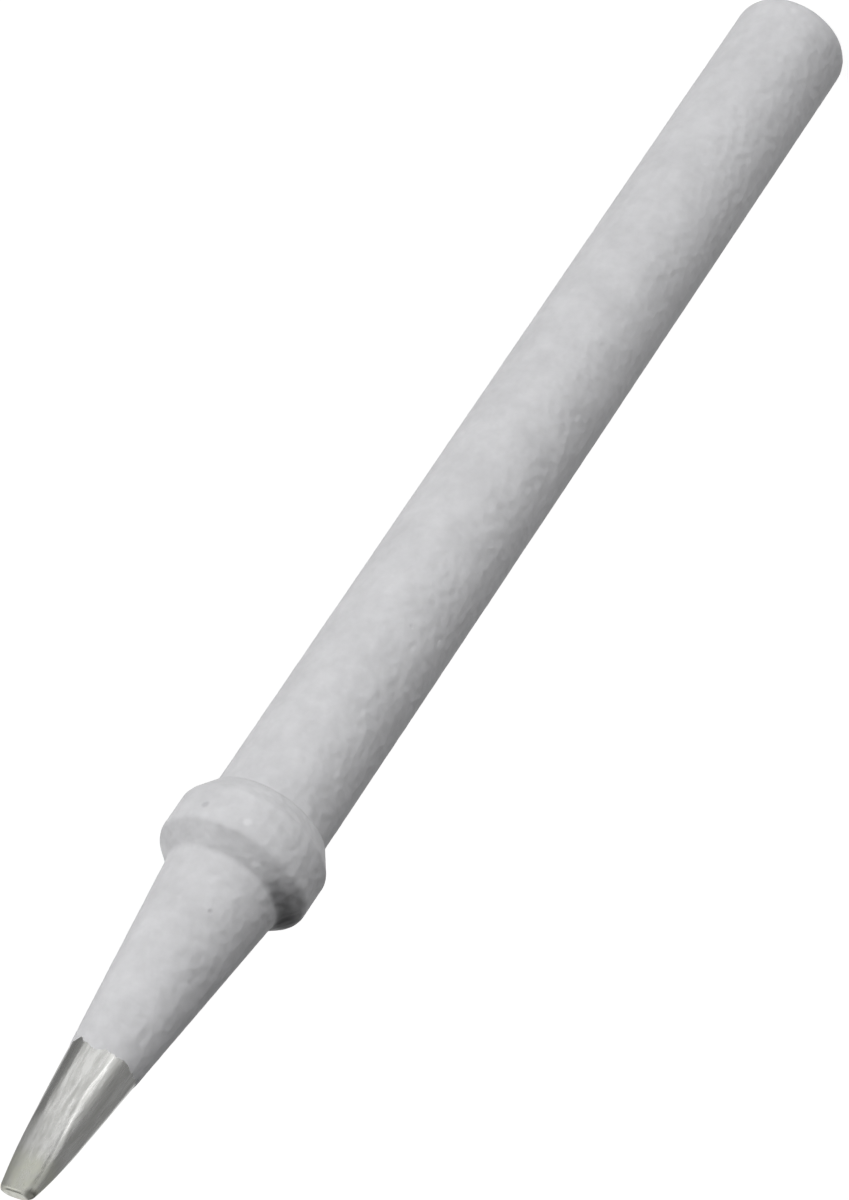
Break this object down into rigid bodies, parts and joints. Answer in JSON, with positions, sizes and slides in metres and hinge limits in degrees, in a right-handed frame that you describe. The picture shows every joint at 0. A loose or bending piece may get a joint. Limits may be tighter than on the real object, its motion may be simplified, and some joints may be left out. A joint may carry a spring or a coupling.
{
  "type": "soldering iron tip",
  "caption": "Plug-in soldering iron tip: long plain shank, raised collar, slim cone with grey coat, and a tinned chisel bit.",
  "frame": {"origin": "centre of the flat rear end of the shank, which the tip stands on", "axes": "+Z along the axis from the rear end to the bit; the chisel is widest along X and its two flats face +Y and -Y"},
  "size_m": [0.0072, 0.0072, 0.0722],
  "materials": {
    "coated_copper": "matt light grey heat-proof coat over plated copper, with a bright tinned bit at the front"
  },
  "bodies": {
    "root": {"soldering_tip": "coated_copper"}
  },
  "joints": []
}
